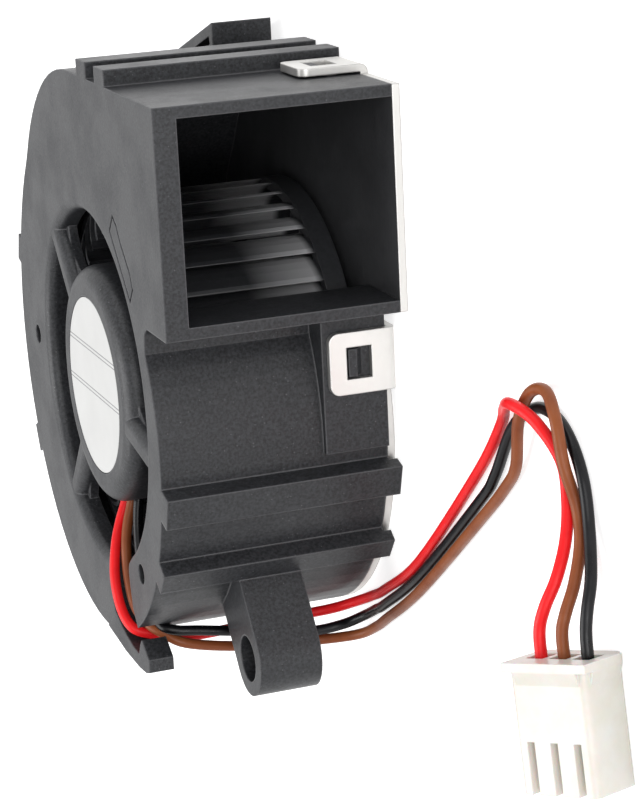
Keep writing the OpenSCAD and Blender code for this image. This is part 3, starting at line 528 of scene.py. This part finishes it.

# %% [markdown]
# Light reaches the foot of the glossy blades and fades towards the intake. Deep in the
# duct the lamps alone leave them too dark, so they carry a painted highlight: a paler
# colour that stands in for light. The height above the plate sets how much of it is mixed
# in: none below BLADE_FOOT, where the disc is, all at BLADE_PALE and none above
# BLADE_DARK. Height doesn't change as the wheel turns, so the painted highlight holds at
# every turn.

# %% Painted highlight on the foot of the blades
BLADE_FOOT, BLADE_PALE, BLADE_DARK = 4.2 * MM, 5.0 * MM, 12.0 * MM
PAINTED_HIGHLIGHT_BLADE = (0.46, 0.46, 0.47)
tree = finishes["impeller_plastic"].node_tree
shader = tree.nodes["Principled BSDF"]
place = add_node(tree, "TexCoord")
height = add_node(tree, "SeparateXYZ", Vector=place.outputs["Object"])
above = fit_range(tree, height.outputs["Z"], BLADE_FOOT, BLADE_PALE)
painted_highlight_mask = math_node(tree, "MULTIPLY", above,
                fit_range(tree, height.outputs["Z"], BLADE_DARK, BLADE_PALE))
# Painted highlight: the paler colour stands in for light on the foot of the blades.
recolour(tree, shader, painted_highlight_mask, PAINTED_HIGHLIGHT_BLADE)
print("blades turn pale from", BLADE_DARK, "m down to", BLADE_PALE, "m")

# %% [markdown]
# ### Metals
#
# The back plate is thin steel, plated bright and then stamped, so it has a soft rolled
# direction, darker sheared edges and a few handled patches. Noise that is stretched
# along one direction makes the rolled grain. The turned and ground pieces of the motor
# share the recipe, with other colours and directions.

# %% A metal
EDGE_RUB = 0.6
STAIN, STAINED_TONE = 0.3, 0.82
HANDLED_ROUGHER = 0.15


def metal(name, colour, roughness, along=(60.0, 2500.0, 2500.0), depth=0.000004,
          edge_r=0.0002, edge_tone=1.25):
    """Noise stretched by the scales in along gives a rolled or turned grain, edges take
    the colour times edge_tone, and handled patches are darker and rougher."""
    material, tree, shader = start_finish(name, colour, roughness, metallic=1.0)
    place = add_node(tree, "TexCoord")
    rolled = add_node(tree, "Mapping", Vector=place.outputs["Object"], Scale=along)
    lines = add_node(tree, "TexNoise", Vector=rolled.outputs["Vector"], Scale=1.0, Detail=3.0)
    bumps = add_node(tree, "Bump", Height=lines.outputs["Fac"], Distance=depth, Strength=1.0)
    rim = place_group(tree, edges, Radius=edge_r, Normal=bumps.outputs["Normal"])
    touch = place_group(tree, marks, Scale=200.0)
    edge_colour = tuple(min(1.0, c * edge_tone) for c in colour)
    rubbed = math_node(tree, "MULTIPLY", rim.outputs["Edge"], EDGE_RUB)
    edged = blend_colours(tree, rubbed, colour, edge_colour)
    darker = tuple(c * STAINED_TONE for c in colour)
    stained = math_node(tree, "MULTIPLY", touch.outputs["Patches"], STAIN)
    tree.links.new(blend_colours(tree, stained, edged, darker), shader.inputs["Base Color"])
    handled = fit_range(tree, touch.outputs["Patches"], 0.0, 1.0, roughness,
                        roughness + HANDLED_ROUGHER)
    tree.links.new(handled, shader.inputs["Roughness"])
    tree.links.new(rim.outputs["Normal"], shader.inputs["Normal"])
    return material


# %% The metal pieces
TURNED = (900.0, 900.0, 9000.0)
finishes["plate_steel"] = metal("plated sheet", (0.67, 0.66, 0.64), 0.38, depth=0.00001,
                               edge_tone=0.45)
finishes["brass"] = metal("turned brass", (0.72, 0.53, 0.26), 0.28, along=TURNED)
finishes["bearing_steel"] = metal("ground steel", (0.74, 0.74, 0.75), 0.16, along=TURNED,
                                  depth=0.000001, edge_r=0.0001)
finishes["spring_steel"] = metal("drawn wire", (0.55, 0.55, 0.56), 0.3, edge_r=0.00005)
finishes["shaft_steel"] = metal("ground shaft", (0.7, 0.7, 0.7), 0.2, along=TURNED,
                                depth=0.000001)
finishes["yoke_steel"] = metal("zinc plated cup", (0.55, 0.56, 0.58), 0.34)
finishes["lamination_steel"] = metal("stacked laminations", (0.42, 0.42, 0.43), 0.42,
                                     along=(100.0, 100.0, 4000.0), depth=0.00003)
finishes["pin_tin"] = metal("tinned terminal", (0.78, 0.77, 0.74), 0.28, edge_r=0.0001)
print("finishes so far:", len(finishes))

# %% [markdown]
# The plate's inner face closes the air duct, and it looks as black as the walls. The
# plate is one solid with one finish, so a mask picks the face out: it is what looks up,
# at the height of the sheet's thickness. There the finish is black and no metal.

# %% Black colour on the plate's inner face
PLATE_T = 0.8 * MM
HEIGHT_SLACK = 0.05 * MM
INNER_FACE_BLACK = (0.06, 0.061, 0.065)
tree = finishes["plate_steel"].node_tree
shader = tree.nodes["Principled BSDF"]
face = add_node(tree, "NewGeometry")
place = add_node(tree, "TexCoord")
way = add_node(tree, "SeparateXYZ", Vector=face.outputs["True Normal"])
height = add_node(tree, "SeparateXYZ", Vector=place.outputs["Object"])
at_face = math_node(tree, "COMPARE", height.outputs["Z"], PLATE_T, i2=HEIGHT_SLACK)
inner = math_node(tree, "MULTIPLY", at_face, fit_range(tree, way.outputs["Z"], 0.7, 0.9))
# Colours the inner face black and not metal.
recolour(tree, shader, inner, INNER_FACE_BLACK)
tree.links.new(fit_range(tree, inner, 0.0, 1.0, 1.0, 0.0), shader.inputs["Metallic"])
print("coated face at", PLATE_T, "m")

# %% [markdown]
# ### Winding, board and small parts
#
# The coils are rows of thin enamelled wire. Each turn could be a tube of its own, but
# they hide inside the hub, so a fine band pattern in copper under varnish is enough. The
# bands are darker in the grooves between the turns, which is painted shade.

# %% Enamelled winding
material, tree, shader = start_finish("enamelled winding", (0.62, 0.30, 0.13), 0.3,
                                      metallic=0.8, Coat_Weight=0.5, Coat_Roughness=0.15)
place = add_node(tree, "TexCoord")
turns = add_node(tree, "TexWave", {"bands_direction": "Z"}, Vector=place.outputs["Object"],
                 Scale=900.0, Distortion=0.4)
ridges = add_node(tree, "Bump", Height=turns.outputs["Fac"], Distance=0.00006, Strength=0.8)
# Painted shade: the copper is darker where the bump sinks between the turns.
turns_with_painted_groove_shade = blend_colours(tree, turns.outputs["Fac"], (0.33, 0.13, 0.05), (0.72, 0.38, 0.17))
tree.links.new(turns_with_painted_groove_shade, shader.inputs["Base Color"])
tree.links.new(ridges.outputs["Normal"], shader.inputs["Normal"])
finishes["copper"] = material
print("finish:", material.name)

# %% [markdown]
# The board is glass cloth under a green resist. The weave just shows, and a Voronoi
# pattern's cell borders stand for the copper tracks, which lie a little proud.

# %% Solder resist
material, tree, shader = start_finish("solder resist", (0.03, 0.14, 0.07), 0.3,
                                      Coat_Weight=0.3, Coat_Roughness=0.2)
place = add_node(tree, "TexCoord")
weave = add_node(tree, "TexWave", {"wave_type": "BANDS"}, Vector=place.outputs["Object"],
                 Scale=500.0, Distortion=0.6)
tracks = add_node(tree, "TexVoronoi", {"feature": "DISTANCE_TO_EDGE"},
                  Vector=place.outputs["Object"], Scale=330.0)
copper_line = fit_range(tree, tracks.outputs["Distance"], 0.06, 0.04)
cloth = blend_colours(tree, weave.outputs["Fac"], (0.025, 0.12, 0.06), (0.035, 0.16, 0.08))
tree.links.new(blend_colours(tree, copper_line, cloth, (0.07, 0.26, 0.13)),
               shader.inputs["Base Color"])
raised = add_node(tree, "Bump", Height=copper_line, Distance=0.00003, Strength=0.6)
tree.links.new(raised.outputs["Normal"], shader.inputs["Normal"])
finishes["board"] = material
print("finish:", material.name)

# %% [markdown]
# ### Label
#
# The label is a thin white film on the motor base, with a faint fibre and a cloudy tone.
# It carries no words, only two pairs of thin plain rules right across it. An image could
# hold them, but a rule is just a band in X, so comparing X with its place is enough.

# %% White film
RULES_AT = [x * MM for x in (3.65, 4.07, -0.95, -0.53)]
RULE_HALF = 0.065 * MM

material, tree, shader = start_finish("white film", (0.66, 0.66, 0.65), 0.4)
place = add_node(tree, "TexCoord")
fibres = add_node(tree, "TexNoise", Vector=place.outputs["Object"], Scale=2600.0, Detail=4.0)
skin = add_node(tree, "Bump", Height=fibres.outputs["Fac"], Distance=0.000006, Strength=1.0)
cloud = add_node(tree, "TexNoise", Vector=place.outputs["Object"], Scale=160.0, Detail=3.0)
tone = fit_range(tree, cloud.outputs["Fac"], 0.3, 0.7)
paper = blend_colours(tree, tone, (0.64, 0.64, 0.63), (0.70, 0.70, 0.69))
spot = add_node(tree, "SeparateXYZ", Vector=place.outputs["Object"])
rules = [math_node(tree, "COMPARE", spot.outputs["X"], x, i2=RULE_HALF) for x in RULES_AT]
printed = rules[0]
for rule in rules[1:]:
    printed = math_node(tree, "MAXIMUM", printed, rule)
tree.links.new(blend_colours(tree, printed, paper, (0.22, 0.22, 0.23)),
               shader.inputs["Base Color"])
tree.links.new(skin.outputs["Normal"], shader.inputs["Normal"])
finishes["label_film"] = material
print("finish:", material.name)


# %% [markdown]
# ### Leads
#
# The skin of a lead is soft extruded vinyl: fairly glossy, with slight waves from the
# twisted strands below and small smears of handling. The waves are bump and not mesh,
# because they are far thinner than a hair.

# %% Extruded vinyl
def vinyl(name, colour, deep, roughness):
    """A glossy skin with small waves, whose handled patches are deeper and duller."""
    material, tree, shader = start_finish(name, colour, roughness, Specular_IOR_Level=0.22,
                                          Coat_Weight=0.04, Coat_Roughness=0.3)
    place = add_node(tree, "TexCoord")
    waves = add_node(tree, "TexNoise", Vector=place.outputs["Object"], Scale=900.0, Detail=2.0)
    skin = add_node(tree, "Bump", Height=waves.outputs["Fac"], Distance=0.00003, Strength=0.7)
    touch = place_group(tree, marks, Scale=260.0)
    tree.links.new(blend_colours(tree, touch.outputs["Patches"], colour, deep),
                   shader.inputs["Base Color"])
    handled = fit_range(tree, touch.outputs["Patches"], 0.0, 1.0, roughness,
                        roughness + HANDLED_ROUGHER)
    tree.links.new(handled, shader.inputs["Roughness"])
    tree.links.new(skin.outputs["Normal"], shader.inputs["Normal"])
    return material


finishes["red_pvc"] = vinyl("red vinyl", (0.97, 0.016, 0.020), (0.84, 0.010, 0.014), 0.34)
finishes["brown_pvc"] = vinyl("brown vinyl", (0.28, 0.080, 0.026), (0.22, 0.056, 0.018), 0.36)
finishes["black_pvc"] = vinyl("black vinyl", (0.003, 0.003, 0.004), (0.006, 0.006, 0.008), 0.26)
print("lead finishes:", [name for name in finishes if name.endswith("_pvc")])

# %% [markdown]
# ### Plug
#
# The plug is natural nylon. Light enters it, so the walls look pale and soft, and
# subsurface scattering does this with one value. The edges let a little more through,
# and that is painted light: the edges take a paler colour that stands in for it.

# %% Natural nylon
material, tree, shader = start_finish(
    "natural nylon", (0.83, 0.79, 0.70), 0.34, Subsurface_Weight=0.35, Subsurface_Scale=0.0012)
skin = place_group(tree, grain, Scale=1400.0, Depth=0.000006)
rim = place_group(tree, edges, Radius=0.00018, Normal=skin.outputs["Normal"])
touch = place_group(tree, marks, Scale=220.0)
milky = blend_colours(tree, touch.outputs["Patches"], (0.80, 0.775, 0.725), (0.75, 0.715, 0.64))
# Painted light: the edges take a paler colour that stands in for the light they let through.
tree.links.new(blend_colours(tree, rim.outputs["Edge"], milky, (0.92, 0.91, 0.88)),
               shader.inputs["Base Color"])
tree.links.new(rim.outputs["Normal"], shader.inputs["Normal"])
finishes["plug_nylon"] = material
print("finish:", material.name)

# %% [markdown]
# ## Hand each piece its finish
#
# The record says which finish each node takes, so the list isn't written again here.

# %% Assign the finishes
slot_of = {s["node"]: s["material_slot"] for s in frame["record"]["subparts"]}
for name, piece in nodes.items():
    piece.data.materials.clear()
    piece.data.materials.append(finishes[slot_of[name]])
for colour, lead in leads.items():
    lead.data.materials.append(finishes[colour + "_pvc"])
print("finishes:", len(finishes))
